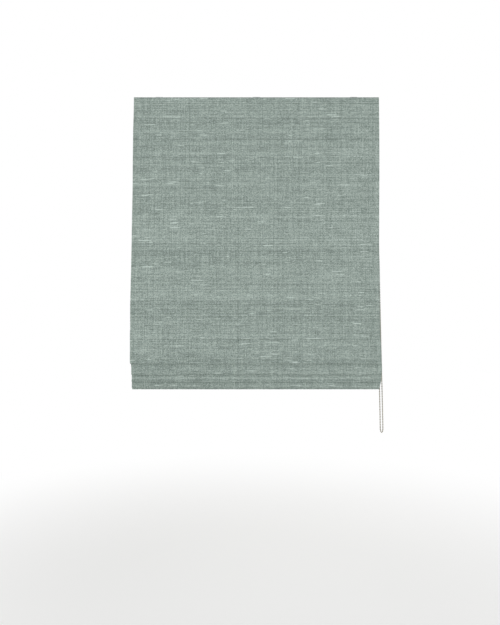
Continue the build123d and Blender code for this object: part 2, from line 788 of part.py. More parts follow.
# Idle end cap with a blind bearing for the shaft's journal
with BuildPart() as idle_end_cap:
    with BuildSketch(Plane.YZ.offset(-rail_half)):
        with Locations((0, -rail_top_depth - rail_height / 2)):
            Rectangle(rail_depth, rail_height)
    extrude(amount=cap_plate)
    fillet(idle_end_cap.edges().filter_by(Axis.X), radius=moulded_edge_radius)
    with BuildSketch(Plane.YZ.offset(profile_left)):
        for side in (-1, 1):
            with Locations(
                (
                    side * (rail_inside - cradle_clearance - tongue_thickness / 2),
                    -(tongue_top + tongue_low) / 2,
                )
            ):
                Rectangle(tongue_thickness, tongue_low - tongue_top)
    extrude(amount=tongue_length)
    with BuildSketch(Plane.YZ.offset(profile_left)):
        with Locations((0, axis_z)):
            Circle(journal_radius + bearing_clearance + journal_wall)
    extrude(amount=journal_length - side_clearance)
    with BuildSketch(Plane.YZ.offset(profile_left)):
        with Locations((0, axis_z)):
            Circle(journal_radius + bearing_clearance)
    extrude(amount=journal_length, mode=Mode.SUBTRACT)
idle_end_cap.part.label = "idle_end_cap"
export_step(idle_end_cap.part, "parts/idle_end_cap.step")
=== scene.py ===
import json
import math

import bpy
import numpy as np
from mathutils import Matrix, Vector


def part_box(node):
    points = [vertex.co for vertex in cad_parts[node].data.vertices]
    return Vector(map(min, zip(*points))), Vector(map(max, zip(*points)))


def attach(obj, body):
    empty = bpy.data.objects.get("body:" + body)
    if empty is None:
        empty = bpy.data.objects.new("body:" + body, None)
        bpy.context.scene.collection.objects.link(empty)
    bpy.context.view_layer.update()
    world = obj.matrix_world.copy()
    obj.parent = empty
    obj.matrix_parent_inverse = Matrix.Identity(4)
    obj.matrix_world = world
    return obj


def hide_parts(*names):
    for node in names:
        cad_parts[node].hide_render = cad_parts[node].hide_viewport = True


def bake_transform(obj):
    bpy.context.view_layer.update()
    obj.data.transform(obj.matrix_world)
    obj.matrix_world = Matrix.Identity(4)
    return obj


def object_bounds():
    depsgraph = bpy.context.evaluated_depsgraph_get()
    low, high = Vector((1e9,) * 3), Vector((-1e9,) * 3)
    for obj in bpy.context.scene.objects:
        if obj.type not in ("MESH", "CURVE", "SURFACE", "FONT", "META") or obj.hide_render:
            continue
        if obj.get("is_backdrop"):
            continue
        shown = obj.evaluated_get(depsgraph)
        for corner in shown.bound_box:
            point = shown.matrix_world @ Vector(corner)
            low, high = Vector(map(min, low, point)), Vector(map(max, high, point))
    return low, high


# A flat roman blind, partly raised, dressed around its CAD frame. Metres; X runs along the headrail,
# -Y faces the room, +Z is up, and depths are measured down from the mounting plane at z = 0.
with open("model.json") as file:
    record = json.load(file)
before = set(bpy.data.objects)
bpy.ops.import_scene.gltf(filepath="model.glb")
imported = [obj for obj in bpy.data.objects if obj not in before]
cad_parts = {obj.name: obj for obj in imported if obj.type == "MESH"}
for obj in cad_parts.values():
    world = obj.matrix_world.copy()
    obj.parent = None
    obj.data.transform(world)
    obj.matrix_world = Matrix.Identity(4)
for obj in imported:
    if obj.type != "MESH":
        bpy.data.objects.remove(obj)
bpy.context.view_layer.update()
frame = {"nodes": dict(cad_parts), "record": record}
nodes = frame["nodes"]
slot_of_node = {part["node"]: part["material_slot"] for part in frame["record"]["subparts"]}

# Camera, at the photograph's viewing angle
camera_place = (-0.0234, -2.125, -0.7767)
camera_lens = 33.6

# Cloth, as in the CAD source
cloth_half = 0.441
face_thickness = 0.0010
lining_thickness = 0.0006
layer_gap = 0.0003
side_hem_width = 0.011
side_hem_gap = 0.0005
cloth_top_depth = 0.002
drop = 1.050
section_length = 0.199
hang_start = 0.037
hang_slope = 0.0274
cloth_y = -0.02385
front_crease_rise = 0.094
leg_spacing = 0.0029
turn_width = 0.004
rod_drop = 0.002
gathered_count = 4
upper_count = 4

# How the real cloth departs from straight lines
bend_radius = 0.008
front_crease_width = 0.0042
rod_hold = 0.0047
soft_bend_radius = 0.060
panel_wave = 0.0011
crease_waves = [0.0011, 0.0012, 0.0010, 0.0005]
crease_reach = 0.030
edge_curl = 0.0012
left_curl_share = 0.7
edge_curl_width = 0.030
layer_scatter = 0.0007
scatter_rate = 61.0
fold_bulge = 0.0030
fold_bulge_above = 0.020
fold_bulge_reach = 0.010
fold_bulge_evenness = 0.8

# The right edge rolls back between these depths: none, full, full, none
roll_depths = [0.48, 0.66, 0.82, 0.92]
roll_back = 0.0060
roll_width = 0.0045

# How far each side edge stands outside the cut width: (depth, left, right)
edge_shifts = [
    (0.00, 0.0005, 0.0000),
    (0.05, 0.0012, 0.0005),
    (0.12, 0.0030, 0.0010),
    (0.19, 0.0034, 0.0008),
    (0.34, 0.0040, 0.0000),
    (0.41, 0.0048, -0.0011),
    (0.48, 0.0058, -0.0016),
    (0.55, 0.0066, -0.0015),
    (0.62, 0.0076, 0.0004),
    (0.76, 0.0101, 0.0014),
    (0.84, 0.0094, 0.0019),
    (0.90, 0.0082, -0.0004),
    (0.95, 0.0044, -0.0005),
    (0.975, 0.0008, 0.0005),
    (1.00, 0.0002, 0.0003),
    (1.02, 0.0008, -0.0006),
    (1.04, 0.0016, -0.0045),
    (1.05, 0.0018, -0.0055),
]

# Mesh steps
face_columns = 88
lining_columns = 44
panel_step = 0.007
stack_step = 0.004
arc_step = math.radians(18)
folds_start = 0.8
panel_end_slack = 0.001

# A rounded corner takes at most this share of the runs beside it, and smaller turns and runs are left out
corner_room = 0.499
least_turn = 1e-4
least_run = 1e-7

rod_names = [f"batten_rod_{number}" for number in range(1, gathered_count + upper_count + 1)]


def middle(node):
    low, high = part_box(node)
    return (low + high) / 2


rod_middles = [middle(name) for name in rod_names]
rod_depths = [-place.z - rod_drop for place in rod_middles]
bottom_share_depth = rod_depths[gathered_count]


# Shared helpers
def keep(name, mesh, material):
    """A new piece with its material."""
    piece = bpy.data.objects.new(name, mesh)
    bpy.context.scene.collection.objects.link(piece)
    mesh.materials.append(material)
    return piece


def smooth(mesh):
    mesh.polygons.foreach_set("use_smooth", [True] * len(mesh.polygons))


def mesh_of(name, points, faces):
    mesh = bpy.data.meshes.new(name)
    mesh.from_pydata([tuple(p) for p in points], [], [tuple(f) for f in faces])
    mesh.update()
    return mesh


def ring_faces(first, rows, around):
    """Quads between rings of points, numbered from first on."""
    faces = []
    for row in range(rows - 1):
        for k in range(around):
            a = first + row * around + k
            b = first + row * around + (k + 1) % around
            faces.append((a, b, b + around, a + around))
    return faces


def capped_faces(first, rows, around):
    """The same with both ends closed."""
    last = first + (rows - 1) * around
    caps = [tuple(first + k for k in reversed(range(around))), tuple(last + k for k in range(around))]
    return ring_faces(first, rows, around) + caps


def map_cut(mesh, cut):
    """The UV map that weaves follow: each point's place on the flat cloth, in metres."""
    corners = np.zeros(len(mesh.loops), int)
    mesh.loops.foreach_get("vertex_index", corners)
    places = np.array(cut, np.float32)[corners]
    mesh.uv_layers.new(name="cut").data.foreach_set("uv", places.ravel())


def lengths_along(line):
    """How far each point of a line is from its start, along the line."""
    steps = np.linalg.norm(np.diff(line, axis=0), axis=1)
    return np.concatenate([[0.0], np.cumsum(steps)])


def turned_to(way):
    """The turn that brings Z onto that way."""
    return np.array(Vector(way).to_track_quat("Z", "Y").to_matrix())


def linear(red, green, blue):
    """A colour picked in 0 to 255, as the linear values that nodes use."""
    parts = []
    for value in (red, green, blue):
        share = value / 255
        parts.append(share / 12.92 if share <= 0.04045 else ((share + 0.055) / 1.055) ** 2.4)
    return (*parts, 1.0)


def add(tree, kind, inputs=None, **settings):
    """A node, with its inputs set to values or linked to other nodes' outputs."""
    made = tree.nodes.new(kind)
    for name, value in settings.items():
        setattr(made, name, value)
    for name, value in (inputs or {}).items():
        if isinstance(value, bpy.types.NodeSocket):
            tree.links.new(value, made.inputs[name])
        else:
            made.inputs[name].default_value = value
    return made


def new_material(name):
    material = bpy.data.materials.new(name)
    material.use_nodes = True
    tree = material.node_tree
    tree.nodes.clear()
    shader = tree.nodes.new("ShaderNodeBsdfPrincipled")
    output = tree.nodes.new("ShaderNodeOutputMaterial")
    tree.links.new(shader.outputs["BSDF"], output.inputs["Surface"])
    return material, tree, shader


def join(tree, shader, colour, normal, even):
    """Links colour and normal to the shader, and sets what is the same all over on its own sockets."""
    tree.links.new(colour, shader.inputs["Base Color"])
    tree.links.new(normal, shader.inputs["Normal"])
    for name, value in even.items():
        shader.inputs[name].default_value = value


def stretched_noise(tree, place, scale, detail=2.0):
    """Noise whose features are as many to the metre, along each axis, as scale says."""
    scaled = add(tree, "ShaderNodeVectorMath", {0: place, 1: scale}, operation="MULTIPLY")
    noise = add(
        tree,
        "ShaderNodeTexNoise",
        {"Vector": scaled.outputs[0], "Scale": 1.0, "Detail": detail, "Roughness": 0.5},
    )
    return noise.outputs["Fac"]


def weighted_sum(tree, start, terms):
    """start plus each term's weight times how far its noise is from the middle."""
    total = start
    for noise, weight in terms:
        offset = add(tree, "ShaderNodeMath", {0: noise, 1: 0.5}, operation="SUBTRACT")
        total = add(
            tree,
            "ShaderNodeMath",
            {0: offset.outputs[0], 1: weight, 2: total},
            operation="MULTIPLY_ADD",
        ).outputs[0]
    return total


def threshold(tree, value, low, high):
    """0 below low and 1 above high, with a smooth rise between."""
    made = add(
        tree,
        "ShaderNodeMapRange",
        {"Value": value, "From Min": low, "From Max": high},
        interpolation_type="SMOOTHSTEP",
    )
    return made.outputs["Result"]


def lifted(tree, tone, places, weight):
    """The tone, plus the weight where places is 1."""
    made = add(tree, "ShaderNodeMath", {0: places, 1: weight, 2: tone}, operation="MULTIPLY_ADD")
    return made.outputs[0]


def checks_of(tree, place, pitch):
    """Squares of one yarn by one yarn, as a plain weave has."""
    weave = add(
        tree, "ShaderNodeVectorMath", {0: place, 1: (1 / pitch, 1 / pitch, 1)}, operation="MULTIPLY"
    )
    checks = add(tree, "ShaderNodeTexChecker", {"Vector": weave.outputs[0], "Scale": 1.0})
    return checks.outputs["Fac"]


def ramp(tree, value, stops):
    made = add(tree, "ShaderNodeValToRGB", {"Fac": value})
    elements = made.color_ramp.elements
    while len(elements) < len(stops):
        elements.new(0.5)
    for element, (place, colour) in zip(elements, stops):
        element.position = place
        element.color = colour
    return made.outputs["Color"]


# Materials of the cloths
yarn_pitch = 0.0009
slub_pitch = 0.0027
yarn_spread = 3.37


def yarn_noise(tree, place, along, across, rate, pitch=yarn_pitch):
    """Noise that runs along each yarn, rate features to the metre, and starts afresh on the next."""
    parts = add(tree, "ShaderNodeSeparateXYZ", {"Vector": place})
    counted = add(tree, "ShaderNodeMath", {0: parts.outputs[across], 1: pitch}, operation="DIVIDE")
    yarn = add(tree, "ShaderNodeMath", {0: counted.outputs[0]}, operation="FLOOR")
    apart = add(tree, "ShaderNodeMath", {0: yarn.outputs[0], 1: yarn_spread}, operation="MULTIPLY")
    run = add(tree, "ShaderNodeMath", {0: parts.outputs[along], 1: rate}, operation="MULTIPLY")
    spot = add(tree, "ShaderNodeCombineXYZ", {"X": run.outputs[0], "Y": apart.outputs[0], "Z": rate})
    noise = add(
        tree,
        "ShaderNodeTexNoise",
        {"Vector": spot.outputs[0], "Scale": 1.0, "Detail": 1.0, "Roughness": 0.5},
    )
    return noise.outputs["Fac"]


def linen(name):
    """Slub linen in grey-green: uneven weft yarns, fainter warp lines and pale slubs."""
    material, tree, shader = new_material(name)
    place = add(tree, "ShaderNodeUVMap", uv_map="cut").outputs["UV"]
    grains = yarn_noise(tree, place, "X", "Y", 240.0)
    dashes = yarn_noise(tree, place, "X", "Y", 21.0)
    picks = yarn_noise(tree, place, "X", "Y", 0.45)
    warp = yarn_noise(tree, place, "Y", "X", 15.0)
    ends = yarn_noise(tree, place, "Y", "X", 0.4)
    patches = stretched_noise(tree, place, (9, 22, 1), 2.0)
    bands = stretched_noise(tree, place, (0.6, 15, 1), 2.0)
    slub_noise = yarn_noise(tree, place, "X", "Y", 12.0, slub_pitch)
    slubs = threshold(tree, slub_noise, 0.67, 0.74)
    thin_noise = yarn_noise(tree, place, "X", "Y", 26.0, slub_pitch)
    thins = threshold(tree, thin_noise, 0.30, 0.20)
    tone = weighted_sum(
        tree,
        0.5,
        [
            (grains, 1.85),
            (dashes, 0.74),
            (picks, 0.86),
            (warp, 0.58),
            (ends, 0.42),
            (patches, 0.17),
            (bands, 0.17),
        ],
    )
    tone = lifted(tree, tone, slubs, 0.50)
    tone = lifted(tree, tone, thins, -0.32)
    colour = ramp(
        tree,
        tone,
        [
            (0.0, linear(92, 106, 101)),
            (0.5, linear(145, 158, 151)),
            (1.0, linear(202, 216, 209)),
        ],
    )
    checks = checks_of(tree, place, yarn_pitch)
    height = weighted_sum(tree, checks, [(grains, 1.6), (dashes, 1.4), (slubs, 1.2)])
    bump = add(tree, "ShaderNodeBump", {"Strength": 0.45, "Distance": 0.0003, "Height": height})
    even = {"Roughness": 0.85, "Specular IOR Level": 0.2, "Sheen Weight": 0.08, "Sheen Roughness": 0.5}
    join(tree, shader, colour, bump.outputs["Normal"], even)
    return material


def plain_weave(name, dark, pale, pitch):
    """Fine plain cotton, with uneven yarns."""
    material, tree, shader = new_material(name)
    place = add(tree, "ShaderNodeUVMap", uv_map="cut").outputs["UV"]
    weft = stretched_noise(tree, place, (60, 900, 1), 2.0)
    warp = stretched_noise(tree, place, (900, 50, 1), 2.0)
    patches = stretched_noise(tree, place, (9, 12, 1), 3.0)
    tone = weighted_sum(tree, 0.5, [(weft, 0.7), (warp, 0.6), (patches, 0.3)])
    colour = ramp(tree, tone, [(0.2, dark), (0.8, pale)])
    checks = checks_of(tree, place, pitch)
    height = weighted_sum(tree, checks, [(weft, 1.2), (warp, 1.2)])
    bump = add(tree, "ShaderNodeBump", {"Strength": 0.4, "Distance": 0.0002, "Height": height})
    even = {"Roughness": 0.9, "Specular IOR Level": 0.2, "Sheen Weight": 0.05}
    join(tree, shader, colour, bump.outputs["Normal"], even)
    return material


# Materials of the hardware
edge_softness = 0.0004


def solid_finish(name, dark, pale, roughness, grain, bump, metallic=0.0, spread=0.12):
    """A moulded, painted or metal surface: uneven tone and gloss along its grain, and softened edges."""
    material, tree, shader = new_material(name)
    place = add(tree, "ShaderNodeTexCoord").outputs["Object"]
    fine = stretched_noise(tree, place, grain, 3.0)
    blotches = stretched_noise(tree, place, (14, 40, 40), 3.0)
    tone = weighted_sum(tree, 0.5, [(fine, 0.7), (blotches, 0.8)])
    colour = ramp(tree, tone, [(0.2, dark), (0.8, pale)])
    gloss = weighted_sum(tree, roughness, [(fine, spread), (blotches, spread)])
    rounded = add(tree, "ShaderNodeBevel", {"Radius": edge_softness}, samples=4)
    bumped = add(
        tree,
        "ShaderNodeBump",
        {"Strength": bump, "Distance": 0.0002, "Height": fine, "Normal": rounded.outputs["Normal"]},
    )
    tree.links.new(gloss, shader.inputs["Roughness"])
    join(tree, shader, colour, bumped.outputs["Normal"], {"Metallic": metallic})
    return material


def pile(name, dark, pale):
    """Hook and loop tape: a dense field of small tufts."""
    material, tree, shader = new_material(name)
    place = add(tree, "ShaderNodeTexCoord").outputs["Object"]
    tufts = add(tree, "ShaderNodeTexVoronoi", {"Vector": place, "Scale": 1100.0}).outputs["Distance"]
    fuzz = stretched_noise(tree, place, (900, 900, 900), 3.0)
    tone = weighted_sum(tree, 0.5, [(tufts, -0.7), (fuzz, 0.6)])
    colour = ramp(tree, tone, [(0.15, dark), (0.85, pale)])
    bump = add(tree, "ShaderNodeBump", {"Strength": 0.8, "Distance": 0.0005, "Height": tone})
    join(tree, shader, colour, bump.outputs["Normal"], {"Roughness": 0.9, "Sheen Weight": 0.1})
    return material


def thread(name, dark, pale, scale):
    """Twisted or braided yarn: fine slanting strands."""
    material, tree, shader = new_material(name)
    place = add(tree, "ShaderNodeTexCoord").outputs["Object"]
    strands = add(
        tree,
        "ShaderNodeTexWave",
        {"Vector": place, "Scale": scale, "Distortion": 1.5, "Detail": 2.0},
        wave_type="BANDS",
        bands_direction="DIAGONAL",
    ).outputs["Fac"]
    fuzz = stretched_noise(tree, place, (1400, 1400, 1400), 2.0)
    tone = weighted_sum(tree, 0.5, [(strands, 0.6), (fuzz, 0.6)])
    colour = ramp(tree, tone, [(0.1, dark), (0.9, pale)])
    bump = add(tree, "ShaderNodeBump", {"Strength": 0.6, "Distance": 0.0002, "Height": tone})
    join(tree, shader, colour, bump.outputs["Normal"], {"Roughness": 0.8, "Sheen Weight": 0.1})
    return material


sage_linen = linen("sage_linen")
lining_cotton = plain_weave("lining_cotton", linear(222, 219, 211), linear(240, 238, 231), 0.0006)
sage_thread = thread("sage_thread", linear(120, 134, 126), linear(168, 181, 173), 900.0)
white_thread = thread("white_thread", linear(206, 202, 192), linear(244, 242, 236), 900.0)
finishes = {
    "rail_white": solid_finish(
        "rail_white", linear(226, 226, 223), linear(240, 240, 238), 0.42, (500, 500, 500), 0.12
    ),
    "moulded_white": solid_finish(
        "moulded_white", linear(222, 222, 217), linear(238, 238, 234), 0.48, (900, 900, 900), 0.2
    ),
    "tape_white": pile("tape_white", linear(186, 186, 183), linear(240, 240, 238)),
    "spring_steel": solid_finish(
        "spring_steel", linear(122, 124, 127), linear(172, 174, 178), 0.46, (18, 900, 900), 0.15, 1.0, 0.25
    ),
    "zinc_steel": solid_finish(
        "zinc_steel", linear(160, 162, 166), linear(212, 214, 218), 0.34, (12, 1200, 1200), 0.15, 1.0, 0.2
    ),
    "bar_aluminium": solid_finish(
        "bar_aluminium", linear(180, 182, 184), linear(216, 218, 220), 0.36, (5, 1500, 1500), 0.1, 1.0, 0.2
    ),
    "rod_fibreglass": solid_finish(
        "rod_fibreglass", linear(212, 211, 192), linear(240, 239, 226), 0.3, (6, 2600, 2600), 0.2, 0.0, 0.2
    ),
    "cord_white": thread("cord_white", linear(202, 202, 198), linear(246, 246, 243), 700.0),
    "chain_taupe": solid_finish(
        "chain_taupe", linear(120, 113, 92), linear(156, 149, 126), 0.5, (700, 700, 700), 0.08, 0.0, 0.15
    ),
    "sage_linen": sage_linen,
    "lining_cotton": lining_cotton,
}

for node_name, node_object in nodes.items():
    node_object.data.materials.clear()
    node_object.data.materials.append(finishes[slot_of_node[node_name]])


# The line of the cloth in the side view
def hang(front, depth):
    """Y and Z of a point that stands so far in front of the hanging line at that depth."""
    lean = max(depth - hang_start, 0.0) * hang_slope
    return np.array([cloth_y - lean - front, -depth])


def leg_front(leg, rod):
    return turn_width + (leg - 2 * rod - 1) * leg_spacing


def run_length(points):
    return sum(math.dist(a, b) for a, b in zip(points, points[1:]))


def back_leg(rod):
    passing = [(leg_front(2 * rod + 1, k), rod_depths[k]) for k in range(rod)]
    return passing + [(turn_width, rod_depths[rod])]


def front_leg(rod):
    passing = [(leg_front(2 * rod, k), rod_depths[k]) for k in reversed(range(rod))]
    return [(0.0, rod_depths[rod])] + passing


front_crease_depth = drop - front_crease_rise
crease_back = leg_front(2 * gathered_count - 1, 0)
crease_front = crease_back + front_crease_width
crease_slack = 0.0001
turn_slack = 0.00025
front_slack = 0.0003
crease_radius = leg_spacing / 2 - crease_slack
turn_radius = turn_width / 2 - turn_slack
front_radius = front_crease_width / 2 - front_slack

# Corners are (front, depth, radius), and crease_corners has the number of each crease's second corner
seam_corners = [(0.0, cloth_top_depth, None), (0.0, hang_start, bend_radius)]
for rod in reversed(range(gathered_count + 1, gathered_count + upper_count)):
    for reach in (-rod_hold, rod_hold):
        seam_corners.append((0.0, rod_depths[rod] + rod_drop + reach, bend_radius))
lifted_corner = len(seam_corners)
front_corner = lifted_corner + 1
seam_corners += [
    (0.0, rod_depths[gathered_count], soft_bend_radius),
    (crease_front, front_crease_depth, front_radius),
    (crease_back, front_crease_depth, front_radius),
]
crease_corners = [front_corner + 1]
for rod in reversed(range(gathered_count)):
    rising = back_leg(rod)
    passing = rising[:-1] if rod < gathered_count - 1 else rising[1:-1]
    seam_corners += [(*point, bend_radius) for point in passing]
    seam_corners += [(*rising[-1], turn_radius), (0.0, rod_depths[rod], turn_radius)]
    if rod > 0:
        falling = front_leg(rod)
        next_rising = back_leg(rod - 1)
        straight = section_length - run_length(falling) - run_length(next_rising) - leg_spacing
        low = rod_depths[0] + straight / 2
        front = falling[-1][0]
        seam_corners += [(*point, bend_radius) for point in falling[1:]]
        crease_corners.append(len(seam_corners) + 1)
        seam_corners += [(front, low, crease_radius), (front - leg_spacing, low, crease_radius)]

# The face cloth goes on down the hem, under the weight bar and up behind it
bar_pocket_depth = 0.0048
bar_pocket_height = 0.0278
bar_pocket_low = drop - face_thickness
bar_pocket_high = bar_pocket_low - bar_pocket_height
pocket_corner = 0.0008
pocket_end_back = 0.0004
inside = layer_gap / 2
hem_corners = [
    (0.0, bar_pocket_low - inside, pocket_corner),
    (-bar_pocket_depth + 2 * inside, bar_pocket_low - inside, pocket_corner),
    (-bar_pocket_depth + 2 * inside, bar_pocket_high + inside, pocket_corner),
    (-pocket_end_back, bar_pocket_high + inside, None),
]
lining_end_depth = bar_pocket_high - face_thickness - layer_gap


class SideLine:
    """A line of the side view with its corners rounded: points, face-side ways and lengths along it."""

    def __init__(self, corners):
        places = [hang(front, depth) for front, depth, _ in corners]
        self.points = [places[0]]
        self.ways = [self.way(places[0], places[1])]
        self.corner_rows = {}
        for i in range(1, len(places)):
            way_in = self.way(places[i - 1], places[i])
            radius = corners[i][2]
            step = self.step_between(corners[i - 1][1], corners[i][1])
            if radius is None or i == len(places) - 1:
                self.straight(places[i], way_in, step)
                continue
            way_out = self.way(places[i], places[i + 1])
            turn = math.atan2(
                way_in[0] * way_out[1] - way_in[1] * way_out[0], float(way_in @ way_out)
            )
            room = corner_room * min(
                np.linalg.norm(places[i] - places[i - 1]), np.linalg.norm(places[i + 1] - places[i])
            )
            tangent = min(radius * math.tan(abs(turn) / 2), room)
            if abs(turn) < least_turn:
                self.straight(places[i], way_in, step)
                self.corner_rows[i] = len(self.points) - 1
                continue
            radius = tangent / math.tan(abs(turn) / 2)
            start = places[i] - way_in * tangent
            self.straight(start, way_in, step)
            centre = start + math.copysign(radius, turn) * np.array([-way_in[1], way_in[0]])
            count = max(2, math.ceil(abs(turn) / arc_step))
            for k in range(1, count + 1):
                angle = turn * k / count
                cosine, sine = math.cos(angle), math.sin(angle)
                spin = np.array([[cosine, -sine], [sine, cosine]])
                self.points.append(centre + spin @ (start - centre))
                self.ways.append(spin @ way_in)
            self.corner_rows[i] = len(self.points) - 1
        self.points = np.array(self.points)
        ways = np.array(self.ways)
        self.sides = np.stack([ways[:, 1], -ways[:, 0]], axis=1)
        self.lengths = lengths_along(self.points)

    @staticmethod
    def step_between(depth_before, depth):
        """Long steps down the open panel, and short ones in the folds."""
        in_panel = depth_before < folds_start and depth < bottom_share_depth + panel_end_slack
        return panel_step if in_panel else stack_step

    @staticmethod
    def way(a, b):
        return (b - a) / np.linalg.norm(b - a)

    def straight(self, end, way, step):
        start = self.points[-1]
        distance = np.linalg.norm(end - start)
        if distance < least_run:
            return
        count = max(1, math.ceil(distance / step))
        for k in range(1, count + 1):
            self.points.append(start + (end - start) * k / count)
            self.ways.append(way)


seam = SideLine(seam_corners + hem_corners)
lining_seam = SideLine(seam_corners + [(0.0, lining_end_depth, None)])


# The share of the bottom's travel that the cloth makes: 0 at the rail and 1 from the fifth rod down
share_depths = [hang_start]
share_values = [0.0]
for rod in range(gathered_count + upper_count - 1, gathered_count - 1, -1):
    share = (rod_depths[rod] - hang_start) / (bottom_share_depth - hang_start)
    share_depths += [rod_depths[rod] + rod_drop - rod_hold, rod_depths[rod] + rod_drop + rod_hold]
    share_values += [share, share]


def bottom_share(depths):
    return np.interp(depths, share_depths, share_values)


# Small departures that make hung cloth of a drawn line; they are the same for both layers
def swell(x, waves):
    """A slow wave along X, from (waves to the metre, height, phase)."""
    return sum(height * np.sin(2 * math.pi * rate * x + phase) for rate, height, phase in waves)


crease_shapes = [
    [(1.3, 0.6, 0.4), (3.1, 0.35, 2.1), (7.3, 0.25, 4.0)],
    [(1.7, 0.5, 1.9), (4.3, 0.40, 0.6), (8.9, 0.25, 2.5)],
    [(1.1, 0.5, 3.3), (3.7, 0.40, 5.0), (9.7, 0.30, 1.2)],
    [(2.3, 0.5, 0.9), (5.3, 0.40, 3.9), (8.1, 0.25, 0.3)],
]


def panel_shape(number):
    """Each panel between two rods has a wave of its own."""
    return [(0.9, 0.5, number * 1.3), (2.1, 0.35, number * 2.2 + 1), (4.7, 0.2, number * 3.1)]


def departures(line, x):
    """How far each point of the cloth moves in Y and in Z from the drawn line, rows by columns."""
    depths = -line.points[:, 1]
    y = np.zeros((len(depths), len(x)))
    z = np.zeros_like(y)
    stops = [hang_start] + sorted(rod_depths[gathered_count:])
    panel_end = line.corner_rows[lifted_corner]
    curl = np.exp(-((cloth_half - np.abs(x)) / edge_curl_width) ** 2)
    curl *= np.where(x > 0, 1.0, left_curl_share)
    for number, (top, bottom) in enumerate(zip(stops, stops[1:])):
        share = np.clip((depths - top) / (bottom - top), 0, 1)
        share[panel_end:] = 0
        window = np.sin(math.pi * share) ** 2
        y -= panel_wave * window[:, None] * swell(x, panel_shape(number))[None, :]
        y += edge_curl * window[:, None] * curl[None, :]
    for number, corner in enumerate(crease_corners):
        middle_length = line.lengths[line.corner_rows[corner]]
        weight = np.exp(-((line.lengths - middle_length) / crease_reach) ** 2)
        z += crease_waves[number] * weight[:, None] * swell(x, crease_shapes[number])[None, :]
        if number == 0:
            forward = 0.5 + 0.5 * swell(x, crease_shapes[1])
            y -= 0.5 * crease_waves[0] * weight[:, None] * forward[None, :]
        if number == 1:
            above = line.lengths - (middle_length - fold_bulge_above)
            bulge = np.exp(-((above / fold_bulge_reach) ** 2))
            uneven = (1 - fold_bulge_evenness) * swell(x, crease_shapes[2])
            y -= fold_bulge * bulge[:, None] * (fold_bulge_evenness + uneven)[None, :]
    rolled = np.interp(depths, roll_depths, [0.0, 1.0, 1.0, 0.0])
    rolled[line.corner_rows[front_corner] :] = 0
    from_edge = (cloth_half - x) / roll_width
    y += roll_back * rolled[:, None] * np.exp(-(from_edge**2))[None, :]
    return y, z


def edge_out(line, x):
    """How far points move along X, so that the side edges lie as the real ones do."""
    depths, left, right = zip(*edge_shifts)
    row_depths = -line.points[:, 1]
    left_out = np.interp(row_depths, depths, left)
    right_out = np.interp(row_depths, depths, right)
    scatter = layer_scatter * np.sin(line.lengths * scatter_rate) * (row_depths > bottom_share_depth)
    share = np.clip(np.abs(x) / cloth_half, 0, 1) ** 3
    out = np.where(x[None, :] < 0, -(left_out + scatter)[:, None], (right_out - scatter)[:, None])
    return out * share[None, :]


def woven_sheet(name, line, ring_x, ring_offsets, material):
    """A closed sheet: its section along X is a ring of points, carried along the line of the side view."""
    rows, columns = ring_offsets.shape
    out_y, out_z = departures(line, ring_x)
    x = ring_x[None, :] + edge_out(line, ring_x)
    y = line.points[:, :1] + line.sides[:, :1] * ring_offsets + out_y
    z = line.points[:, 1:] + line.sides[:, 1:] * ring_offsets + out_z
    points = np.stack([x, y, z], axis=2).reshape(-1, 3)
    mesh = mesh_of(name, points, capped_faces(0, rows, columns))
    smooth(mesh)
    cut_x, cut_length = np.broadcast_arrays(ring_x[None, :], line.lengths[:, None])
    map_cut(mesh, np.stack([cut_x, cut_length], axis=2).reshape(-1, 2))
    piece = keep(name, mesh, material)
    shares = np.repeat(cloth_shares(line), columns)
    return carried_by_both(piece)


def cloth_shares(line):
    """The bottom's share of the motion for each row: all of it from the fifth rod down."""
    shares = bottom_share(-line.points[:, 1])
    shares[line.corner_rows[lifted_corner] :] = 1.0
    return shares


def carried_by_both(piece):
    """Bakes the piece's placement into its mesh; the piece is not tied to the rail, the bottom or the rods.
    """
    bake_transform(piece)
    return piece


# Face cloth: the side hems turn to the back, round the edge
face_front = layer_gap / 2 + face_thickness
face_back = layer_gap / 2
hem_back = -(layer_gap / 2 + lining_thickness)
edge_radius = 0.0008
edge_turns = [math.radians(angle) for angle in (60, 30, 0, -30, -60)]
edge_insets = [0.0, 0.0012, 0.0024, 0.0038, 0.0056, 0.0080]


def face_ring(line):
    """The ring's X places, and each row's offsets from the seam line."""
    flat_half = cloth_half - edge_radius
    hem_inner = cloth_half - side_hem_width
    near_edge = [flat_half - inset for inset in edge_insets]
    middle_x = np.linspace(-near_edge[-1], near_edge[-1], face_columns + 1)
    ring = [(-x, "front") for x in near_edge[:-1]]
    ring += [(x, "front") for x in middle_x]
    ring += [(x, "front") for x in reversed(near_edge[:-1])]
    ring += [(flat_half + edge_radius * math.cos(turn), turn) for turn in edge_turns]
    ring += [(x, "hem") for x in [*near_edge, hem_inner]]
    ring += [(x, "back") for x in np.linspace(hem_inner, -hem_inner, face_columns // 2 + 1)]
    ring += [(-x, "hem") for x in [hem_inner, *reversed(near_edge)]]
    ring += [(-flat_half - edge_radius * math.cos(turn), turn) for turn in reversed(edge_turns)]
    depths = -line.points[:, 1]
    hem_turn = line.lengths[line.corner_rows[len(seam_corners)]]
    hem_rows = line.lengths < hem_turn - (bar_pocket_low - lining_end_depth)
    back = np.where(hem_rows, hem_back, face_back)
    offsets = np.zeros((len(depths), len(ring)))
    for column, (_, kind) in enumerate(ring):
        if kind == "front":
            offsets[:, column] = face_front
        elif kind == "hem":
            offsets[:, column] = back
        elif kind == "back":
            offsets[:, column] = face_back
        else:
            offsets[:, column] = (face_front + back) / 2 + (face_front - back) / 2 * math.sin(kind)
    return np.array([x for x, _ in ring]), offsets


ring_x, ring_offsets = face_ring(seam)
face_cloth = woven_sheet("face_cloth", seam, ring_x, ring_offsets, sage_linen)
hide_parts("face_fabric")

